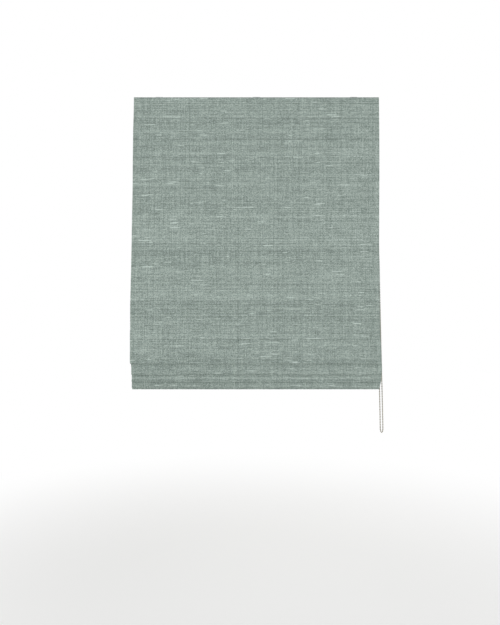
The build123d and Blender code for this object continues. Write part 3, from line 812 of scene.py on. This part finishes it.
# Lining, between the side hems
lining_half = cloth_half - side_hem_width - side_hem_gap
lining_line_x = np.linspace(-lining_half, lining_half, lining_columns + 1)
ring_x = np.concatenate([lining_line_x, lining_line_x[::-1]])
lining_rows = len(lining_seam.points)
ring_offsets = np.concatenate(
    [
        np.full((lining_rows, lining_columns + 1), -layer_gap / 2),
        np.full((lining_rows, lining_columns + 1), -layer_gap / 2 - lining_thickness),
    ],
    axis=1,
)
lining_cloth = woven_sheet(
    "lining_cloth", lining_seam, ring_x, ring_offsets, lining_cotton
)
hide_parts("lining")

# Pocket tapes, sewn along the back of the lining round every rod
tape_thickness = 0.0006
tape_front = -(layer_gap / 2 + lining_thickness + tape_thickness / 2)
tape_back = -0.00585
tape_half = 0.0028
tape_flat = 0.0046
tape_stitch_inset = 0.0008
tape_end_inset = 0.001
tape_end_x = lining_half - tape_end_inset
tape_columns = 23
tape_round = 0.0026
tape_fold_round = 0.0027
tape_corner = 0.0009
tape_tail = 0.006
tape_seat_gap = 0.00002


def pocket_tape_corners(rod):
    """The tape's line round a rod, as (front, depth, radius); a gathered rod's starts on the rising leg."""
    depth = rod_depths[rod] + rod_drop
    below = [
        (tape_back, depth + tape_half, tape_round),
        (tape_front, depth + tape_half, tape_corner),
        (tape_front, depth + tape_flat, None),
    ]
    if rod < gathered_count:
        rising = back_leg(rod)
        start_front = turn_width - tape_front
        slope = 0.0
        if len(rising) > 1:
            slope = (rising[-2][0] - rising[-1][0]) / (rising[-2][1] - rising[-1][1])
        top = rod_depths[rod] + tape_front + tape_seat_gap
        return [
            (start_front + slope * tape_tail, rod_depths[rod] + tape_tail, None),
            (start_front, top, tape_fold_round),
            (tape_back, depth - tape_half, tape_round),
        ] + below
    return [
        (tape_front, depth - tape_flat, None),
        (tape_front, depth - tape_half, tape_corner),
        (tape_back, depth - tape_half, tape_round),
    ] + below


def tape_points(rod):
    """The tape's closed section: one side of its line and back along the other."""
    line = SideLine(pocket_tape_corners(rod))
    near = line.points + line.sides * tape_thickness / 2
    far = line.points - line.sides * tape_thickness / 2
    return np.concatenate([near, far[::-1]]), line


def tapes_piece(name, rods, body):
    """The tapes of some rods, each a thin strip whose ends are closed."""
    points, faces, cut = [], [], []
    xs = np.linspace(-tape_end_x, tape_end_x, tape_columns)
    for rod in rods:
        section, line = tape_points(rod)
        count = len(section)
        first = len(points)
        along = np.concatenate([line.lengths, line.lengths[::-1]])
        for x in xs:
            points += [(x, y, z) for y, z in section]
            cut += [(x, s) for s in along]
        faces += ring_faces(first, len(xs), count)
        half = count // 2
        for k in (0, len(xs) - 1):
            a = first + k * count
            for i in range(half - 1):
                quad = (a + i, a + i + 1, a + count - 2 - i, a + count - 1 - i)
                faces.append(quad if k else tuple(reversed(quad)))
    mesh = mesh_of(name, points, faces)
    smooth(mesh)
    map_cut(mesh, cut)
    piece = keep(name, mesh, lining_cotton)
    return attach(piece, body)


bottom_rods = range(gathered_count + 1)
tape_pieces = [tapes_piece("pocket_tapes_lower", bottom_rods, "bottom")]
for number in (6, 7, 8):
    tape_pieces.append(tapes_piece(f"pocket_tape_{number}", [number - 1], f"rod_{number}"))

# The bead chain: a limp loop that hangs from the wheel. Its route repeats the CAD source's
chain_wheel_x = 0.4305
chain_pitch_radius = 0.011459
shaft_z = -0.021
chain_core = 0.0016
bead_radius = 0.00225
bead_pitch = 0.006
wheel_arc_steps = 41
chain_route = [
    (0.43050, -0.01146, -0.0210),
    (0.43112, -0.01122, -0.0480),
    (0.46003, -0.00219, -1.1780),
    (0.46030, -0.00196, -1.2128),
    (0.45170, 0.00196, -1.2128),
    (0.45144, 0.00219, -1.1780),
    (0.43100, 0.01122, -0.0480),
    (0.43050, 0.01146, -0.0210),
]


def nurbs_curve(name, route, radius, resolution):
    data = bpy.data.curves.new(name, "CURVE")
    data.dimensions = "3D"
    data.resolution_u = resolution
    spline = data.splines.new("NURBS")
    spline.points.add(len(route) - 1)
    for point, place in zip(spline.points, route):
        point.co = (*place, 1.0)
    spline.order_u = 3
    spline.use_endpoint_u = True
    data.bevel_depth = radius
    data.bevel_resolution = 3
    data.use_fill_caps = True
    return data


def points_along(route, resolution=48):
    """The points that the route's smooth line passes through, read from Blender's own curve."""
    data = nurbs_curve("reading_line", route, 0.0, resolution)
    reading = bpy.data.objects.new("reading_line", data)
    bpy.context.scene.collection.objects.link(reading)
    bpy.context.view_layer.update()
    mesh = bpy.data.meshes.new_from_object(reading)
    places = np.array([v.co for v in mesh.vertices], float)
    bpy.data.objects.remove(reading)
    bpy.data.meshes.remove(mesh)
    bpy.data.curves.remove(data)
    return places


chain_taupe = finishes["chain_taupe"]
chain_data = nurbs_curve("chain_core", chain_route, chain_core / 2, 24)
chain_piece = bpy.data.objects.new("chain_core", chain_data)
bpy.context.scene.collection.objects.link(chain_piece)
chain_data.materials.append(chain_taupe)
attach(chain_piece, "headrail")
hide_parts("bead_chain")

# The loop's whole line, wheel arc included, starts at the top of the connector, so that beads meet the
# wheel's pockets
hanging_line = points_along(chain_route)
strand_split = len(hanging_line) // 2
front_strand = hanging_line[:strand_split]
rear_strand = hanging_line[strand_split:]
wheel_arc = [
    (
        chain_wheel_x,
        chain_pitch_radius * math.cos(angle),
        shaft_z + chain_pitch_radius * math.sin(angle),
    )
    for angle in np.linspace(0, math.pi, wheel_arc_steps)[1:-1]
]
connector_top_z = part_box("chain_connector")[1].z
connector_gap = 0.0001
look_ahead = 0.001


def place_at(line, reach, marks):
    """The places on a line at those distances along it."""
    return np.stack([np.interp(marks, reach, line[:, k]) for k in range(3)], axis=1)


def spaced_along(line, count):
    """The middles of as many equal stretches of a line, and the way it runs there."""
    reach = lengths_along(line)
    marks = (np.arange(count) + 0.5) * reach[-1] / count
    ways = place_at(line, reach, marks + look_ahead) - place_at(line, reach, marks - look_ahead)
    return place_at(line, reach, marks), ways / np.linalg.norm(ways, axis=1)[:, None]


def on_rear(z):
    """The point of the rear strand at that height."""
    order = np.argsort(rear_strand[:, 2])
    heights = rear_strand[order, 2]
    return np.array([np.interp(z, heights, rear_strand[order, k]) for k in (0, 1)] + [z])


connector_top = on_rear(connector_top_z)
rear_above = [p for p in rear_strand if p[2] > connector_top_z + connector_gap]
rear_below = [p for p in rear_strand if p[2] < connector_top_z - connector_gap]
whole_loop = np.array(
    [connector_top, *rear_above, *wheel_arc, *front_strand, *rear_below, connector_top]
)
bead_count = round(lengths_along(whole_loop)[-1] / bead_pitch)
bead_places, bead_ways = spaced_along(whole_loop, bead_count)
bead_pole = 0.97
mould_ridge = 0.02
bead_around = 12
bead_level_step = 22.5
bead_levels = [bead_level_step * step for step in range(1, 8)]


def beads_mesh(name, places, ways, radius):
    """Round beads with their poles on the cord, and a faint ridge where the mould parted."""
    local = [(0.0, 0.0, -bead_pole)]
    for level in bead_levels:
        angle = math.radians(level)
        out = math.sin(angle) * (1.0 + (mould_ridge if level == 90 else 0.0))
        for turn in np.linspace(0, 2 * math.pi, bead_around, endpoint=False):
            local.append((out * math.cos(turn), out * math.sin(turn), -math.cos(angle)))
    local.append((0.0, 0.0, bead_pole))
    local = np.array(local) * radius
    last = 1 + (len(bead_levels) - 1) * bead_around
    ring = range(bead_around)
    faces = [(0, 1 + (k + 1) % bead_around, 1 + k) for k in ring]
    faces += ring_faces(1, len(bead_levels), bead_around)
    faces += [(last + k, last + (k + 1) % bead_around, len(local) - 1) for k in ring]
    points, all_faces = [], []
    for place, way in zip(places, ways):
        first = len(points)
        points += list(local @ turned_to(way).T + place)
        all_faces += [tuple(first + i for i in face) for face in faces]
    mesh = mesh_of(name, points, all_faces)
    smooth(mesh)
    return mesh


beads = beads_mesh("chain_beads", bead_places, bead_ways, bead_radius)
bead_piece = keep("chain_beads", beads, chain_taupe)
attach(bead_piece, "headrail")


def tube_mesh(name, line, radius, around=8, wave=None):
    """A tube along a line, whose radius may vary round it and along it."""
    ways = np.gradient(line, axis=0)
    ways /= np.linalg.norm(ways, axis=1)[:, None]
    points, faces = [], []
    for place, way, distance in zip(line, ways, lengths_along(line)):
        side = np.cross(way, (1.0, 0.0, 0.0))
        side /= np.linalg.norm(side)
        up = np.cross(side, way)
        for k in range(around):
            angle = 2 * math.pi * k / around
            grown = radius * (wave(angle, distance) if wave else 1.0)
            points.append(place + grown * (math.cos(angle) * side + math.sin(angle) * up))
    mesh = mesh_of(name, points, capped_faces(0, len(line), around))
    smooth(mesh)
    return mesh


wheel_core_line = np.array([hanging_line[-1], *wheel_arc, hanging_line[0]])
wheel_core = keep(
    "chain_core_on_wheel",
    tube_mesh("chain_core_on_wheel", wheel_core_line, chain_core / 2),
    chain_taupe,
)
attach(wheel_core, "headrail")

# Lift cords: braided, from the spools down through the guides to their anchors
cord_radius = 0.0007
braid_pitch = 0.0042
braid_depth = 0.06
braid_strands = 3
cord_around = 10
cord_row = 0.0007


def braid(angle, distance):
    """Two sets of strands wound against each other."""
    turn = 2 * math.pi * distance / braid_pitch
    crossing = math.cos(braid_strands * angle + turn) * math.cos(braid_strands * angle - turn)
    return 1 - braid_depth + braid_depth * crossing


for number in (1, 2, 3):
    low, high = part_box(f"lift_cord_{number}")
    x = (low.x + high.x) / 2
    top = np.array([x, high.y - cord_radius, high.z])
    end = np.array([x, low.y + cord_radius, low.z])
    rows = math.ceil((top[2] - end[2]) / cord_row)
    line = top[None, :] + (end - top)[None, :] * np.linspace(0, 1, rows + 1)[:, None]
    mesh = tube_mesh(f"lift_cord_braid_{number}", line, cord_radius, cord_around, braid)
    cord_piece = keep(f"lift_cord_braid_{number}", mesh, finishes["cord_white"])
    carried_by_both(cord_piece)
    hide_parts(f"lift_cord_{number}")

# Stitches
stitch_radius = 0.00022
stitch_length = 0.0032
hem_stitch_length = 0.0034
stitch_rise = stitch_radius * 0.3
stitch_around = 5
stitch_levels = [(-0.5, 0.25), (-0.3, 0.9), (0.3, 0.9), (0.5, 0.25)]
stitch_margin = 0.004
tape_stitch_pitch = 0.0048


def stitches_mesh(name, places, ways, length=stitch_length):
    """Short threads that sink into the cloth at both ends."""
    points, faces = [], []
    for place, way in zip(places, ways):
        turned = turned_to(way)
        first = len(points)
        for along, share in stitch_levels:
            for k in range(stitch_around):
                angle = 2 * math.pi * k / stitch_around
                local = (
                    math.cos(angle) * share * stitch_radius,
                    math.sin(angle) * share * stitch_radius,
                    along * length,
                )
                points.append(turned @ np.array(local) + place)
        faces += capped_faces(first, len(stitch_levels), stitch_around)
    mesh = mesh_of(name, points, faces)
    smooth(mesh)
    return mesh


def tape_stitches(name, rods, body):
    """Stitches along the flat edges of the tapes of some rods."""
    offset = tape_front - tape_thickness / 2 - stitch_rise
    end_x = tape_end_x - stitch_margin
    places = []
    for rod in rods:
        depth = rod_depths[rod] + rod_drop
        marks = [depth + tape_flat - tape_stitch_inset]
        if rod >= gathered_count:
            marks.append(depth - tape_flat + tape_stitch_inset)
        for mark in marks:
            y, z = hang(offset, mark)
            places += [(x, y, z) for x in np.arange(-end_x, end_x, tape_stitch_pitch)]
    mesh = stitches_mesh(name, places, [(1, 0, 0)] * len(places))
    piece = keep(name, mesh, white_thread)
    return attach(piece, body)


stitch_pieces = [tape_stitches("pocket_stitches_lower", bottom_rods, "bottom")]
for number in (6, 7, 8):
    stitch_pieces.append(tape_stitches(f"pocket_stitches_{number}", [number - 1], f"rod_{number}"))

# Blind stitches along the inner edge of both side hems
hem_stitch_pitch = 0.009
hem_stitch_slant = 0.4375
hem_stitch_start = 0.04
hem_stitch_end = 0.01
hem_lengths = lining_seam.lengths
hem_marks = np.arange(hem_stitch_start, hem_lengths[-1] - hem_stitch_end, hem_stitch_pitch)
row_of_mark = np.searchsorted(hem_lengths, hem_marks)
hem_places, hem_ways, hem_shares = [], [], []
shares = cloth_shares(lining_seam)
for side in (-1, 1):
    x = side * lining_half
    out_y, out_z = departures(lining_seam, np.array([x]))
    out_x = edge_out(lining_seam, np.array([x]))
    for mark, row in zip(hem_marks, row_of_mark):
        before = row - 1
        onward = (mark - hem_lengths[before]) / (hem_lengths[row] - hem_lengths[before])
        place = lining_seam.points[before] * (1 - onward) + lining_seam.points[row] * onward
        place = place + lining_seam.sides[row] * (hem_back - stitch_rise)
        hem_places.append((x + out_x[row, 0], place[0] + out_y[row, 0], place[1] + out_z[row, 0]))
        way = SideLine.way(lining_seam.points[before], lining_seam.points[row])
        hem_ways.append((hem_stitch_slant * side, way[0], way[1]))
        hem_shares.append(shares[before] * (1 - onward) + shares[row] * onward)
hem_mesh = stitches_mesh("side_hem_stitches", hem_places, hem_ways, hem_stitch_length)
hem_stitches = keep("side_hem_stitches", hem_mesh, sage_thread)
carried_by_both(hem_stitches)

# A row of machine stitches closes the pocket for the weight bar
bar_stitch_pitch = 0.0042
bar_stitch_inset = 0.0006
bar_stitch_front = -bar_pocket_depth - face_thickness + layer_gap / 2 - stitch_rise
bar_stitch_y, bar_stitch_z = hang(bar_stitch_front, bar_pocket_high + bar_stitch_inset)
bar_stitch_half = cloth_half - stitch_margin
bar_stitch_x = np.arange(-bar_stitch_half, bar_stitch_half, bar_stitch_pitch)
bar_places = [(x, bar_stitch_y, bar_stitch_z) for x in bar_stitch_x]
bar_mesh = stitches_mesh("bar_pocket_stitches", bar_places, [(1, 0, 0)] * len(bar_places))
bar_stitches = keep("bar_pocket_stitches", bar_mesh, sage_thread)
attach(bar_stitches, "bottom")

# Floor: pale near the blind, where it keeps a soft shadow, and white further out
floor_z = -1.80
floor_radius = 4.0
floor_sides = 96
fade_start = 0.5
fade_end = 2.2


def floor_material():
    """Pale and plain near the middle, and fading to white for the camera."""
    material, tree, shader = new_material("pale_floor")
    shader.inputs["Base Color"].default_value = (0.94, 0.94, 0.93, 1.0)
    shader.inputs["Roughness"].default_value = 0.7
    place = add(tree, "ShaderNodeTexCoord").outputs["Object"]
    distance = add(tree, "ShaderNodeVectorMath", {0: place}, operation="LENGTH").outputs["Value"]
    fade = threshold(tree, distance, fade_start, fade_end)
    seen = add(tree, "ShaderNodeLightPath").outputs["Is Camera Ray"]
    share = add(tree, "ShaderNodeMath", {0: fade, 1: seen}, operation="MULTIPLY").outputs[0]
    white = add(tree, "ShaderNodeEmission", {"Color": (1, 1, 1, 1), "Strength": 1.0})
    mixed = add(
        tree,
        "ShaderNodeMixShader",
        {0: share, 1: shader.outputs["BSDF"], 2: white.outputs["Emission"]},
    )
    output = next(n for n in tree.nodes if n.type == "OUTPUT_MATERIAL")
    tree.links.new(mixed.outputs["Shader"], output.inputs["Surface"])
    return material


rim = [
    (floor_radius * math.cos(a), floor_radius * math.sin(a), 0.0)
    for a in np.linspace(0, 2 * math.pi, floor_sides, endpoint=False)
]
floor_mesh = mesh_of("floor", rim, [tuple(range(len(rim)))])
floor = bpy.data.objects.new("floor", floor_mesh)
floor.location = (0, 0, floor_z)
bpy.context.scene.collection.objects.link(floor)
floor_mesh.materials.append(floor_material())
floor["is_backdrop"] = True

# World: white where it is seen or mirrored, and softer as light
ambient = 0.62
world = bpy.data.worlds.new("studio")
bpy.context.scene.world = world
world.use_nodes = True
world_tree = world.node_tree
world_tree.nodes.clear()
path = add(world_tree, "ShaderNodeLightPath")
seen = add(
    world_tree,
    "ShaderNodeMath",
    {0: path.outputs["Is Camera Ray"], 1: path.outputs["Is Glossy Ray"]},
    operation="MAXIMUM",
)
seen = add(
    world_tree,
    "ShaderNodeMath",
    {0: seen.outputs[0], 1: path.outputs["Is Transmission Ray"]},
    operation="MAXIMUM",
)
soft = add(world_tree, "ShaderNodeBackground", {"Color": (1, 1, 1, 1), "Strength": ambient})
white = add(world_tree, "ShaderNodeBackground", {"Color": (1, 1, 1, 1), "Strength": 1.0})
world_mix = add(
    world_tree,
    "ShaderNodeMixShader",
    {0: seen.outputs[0], 1: soft.outputs["Background"], 2: white.outputs["Background"]},
)
add(world_tree, "ShaderNodeOutputWorld", {"Surface": world_mix.outputs["Shader"]})


def lamp(name, place, aim, size, power):
    data = bpy.data.lights.new(name, "AREA")
    data.shape = "SQUARE"
    data.size = size
    data.energy = power
    made = bpy.data.objects.new(name, data)
    made.location = place
    made.rotation_euler = (Vector(aim) - Vector(place)).to_track_quat("-Z", "Y").to_euler()
    made.visible_camera = False
    bpy.context.scene.collection.objects.link(made)


blind_middle = (0.0, -0.03, -0.55)
lamp("key", (-1.6, -2.8, 0.45), blind_middle, 1.6, 26.0)
lamp("fill", (2.0, -2.6, -0.2), blind_middle, 2.0, 14.0)
lamp("back", (0.8, 2.6, 0.6), blind_middle, 2.0, 26.0)

camera_data = bpy.data.cameras.new("camera")
camera_data.sensor_width = 36.0
camera_data.lens = camera_lens
camera = bpy.data.objects.new("camera", camera_data)
camera.location = camera_place
camera.rotation_euler = (math.radians(90), 0, 0)
bpy.context.scene.collection.objects.link(camera)
bpy.context.scene.camera = camera

bpy.context.scene.view_settings.view_transform = "Standard"

low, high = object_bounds()
